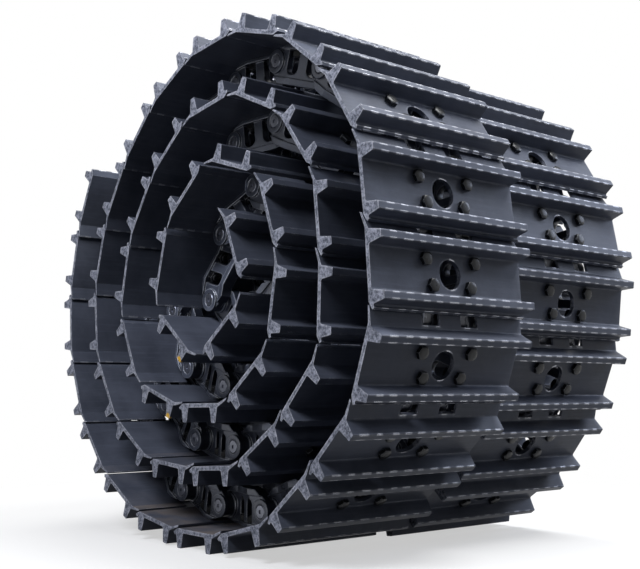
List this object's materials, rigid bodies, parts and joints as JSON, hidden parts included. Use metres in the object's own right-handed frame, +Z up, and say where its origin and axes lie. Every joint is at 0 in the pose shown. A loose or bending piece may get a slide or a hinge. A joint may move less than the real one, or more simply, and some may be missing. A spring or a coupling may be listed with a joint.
{
  "type": "excavator track chain",
  "caption": "Two rolled-up excavator track chains side by side: forged links with pins and bushings carry bolted double-grouser shoes; the free end unrolls.",
  "frame": {"origin": "middle of the bottom of the bounding box, on the floor under the two rolls", "axes": "+X along the pins, across the chain, from the near roll to the far roll; +Z up; +Y to the side where the free outer end lies"},
  "size_m": [1.015, 1.5685, 1.38],
  "materials": {
    "shoe_paint": "satin blue-black paint on rolled steel shoes, worn bright along the edges",
    "forged_link": "thin black paint on forged steel links",
    "hardened_pin": "dark induction-hardened steel, ground round",
    "seal_steel": "dark spring-steel dust seals",
    "black_bolt": "black-oxide bolts and nuts, lightly oiled"
  },
  "bodies": {
    "rolls": {"near_roll_shoes": "shoe_paint", "near_roll_left_links": "forged_link", "near_roll_right_links": "forged_link", "near_roll_pins": "hardened_pin", "near_roll_bushings": "hardened_pin", "near_roll_seals": "seal_steel", "near_roll_bolts": "black_bolt", "near_roll_nuts": "black_bolt", "far_roll_shoes": "shoe_paint", "far_roll_left_links": "forged_link", "far_roll_right_links": "forged_link", "far_roll_pins": "hardened_pin", "far_roll_bushings": "hardened_pin", "far_roll_seals": "seal_steel", "far_roll_bolts": "black_bolt", "far_roll_nuts": "black_bolt"},
    "loose_link_1": {"tail_shoe_1": "shoe_paint", "tail_left_link_1": "forged_link", "tail_right_link_1": "forged_link", "tail_pin_1": "hardened_pin", "tail_bushing_1": "hardened_pin", "tail_seal_1": "seal_steel", "tail_bolt_1": "black_bolt", "tail_nut_1": "black_bolt"},
    "loose_link_2": {"tail_shoe_2": "shoe_paint", "tail_left_link_2": "forged_link", "tail_right_link_2": "forged_link", "tail_pin_2": "hardened_pin", "tail_bushing_2": "hardened_pin", "tail_seal_2": "seal_steel", "tail_bolt_2": "black_bolt", "tail_nut_2": "black_bolt"},
    "loose_link_3": {"tail_shoe_3": "shoe_paint", "tail_left_link_3": "forged_link", "tail_right_link_3": "forged_link", "tail_pin_3": "hardened_pin", "tail_bushing_3": "hardened_pin", "tail_seal_3": "seal_steel", "tail_bolt_3": "black_bolt", "tail_nut_3": "black_bolt"},
    "loose_link_4": {"tail_shoe_4": "shoe_paint", "tail_left_link_4": "forged_link", "tail_right_link_4": "forged_link", "tail_pin_4": "hardened_pin", "tail_bushing_4": "hardened_pin", "tail_seal_4": "seal_steel", "tail_bolt_4": "black_bolt", "tail_nut_4": "black_bolt"},
    "loose_link_5": {"tail_shoe_5": "shoe_paint", "tail_left_link_5": "forged_link", "tail_right_link_5": "forged_link", "tail_pin_5": "hardened_pin", "tail_bushing_5": "hardened_pin", "tail_seal_5": "seal_steel", "tail_bolt_5": "black_bolt", "tail_nut_5": "black_bolt"}
  },
  "joints": [
    {"name": "tail_hinge_1", "type": "hinge", "parent": "rolls", "child": "loose_link_1", "pos_m": [-0.2575, 0.38413, 0.21667], "axis": [-1, 0, 0], "range_deg": [0, 18.45]},
    {"name": "tail_hinge_2", "type": "hinge", "parent": "loose_link_1", "child": "loose_link_2", "pos_m": [-0.2575, 0.51308, 0.35621], "axis": [-1, 0, 0], "range_deg": [0, 19.54]},
    {"name": "tail_hinge_3", "type": "hinge", "parent": "loose_link_2", "child": "loose_link_3", "pos_m": [-0.2575, 0.58793, 0.53085], "axis": [-1, 0, 0], "range_deg": [0, 19.06]},
    {"name": "tail_hinge_4", "type": "hinge", "parent": "loose_link_3", "child": "loose_link_4", "pos_m": [-0.2575, 0.60166, 0.72035], "axis": [-1, 0, 0], "range_deg": [0, 17.08]},
    {"name": "tail_hinge_5", "type": "hinge", "parent": "loose_link_4", "child": "loose_link_5", "pos_m": [-0.2575, 0.55915, 0.90553], "axis": [-1, 0, 0], "range_deg": [0, 14.31]}
  ]
}
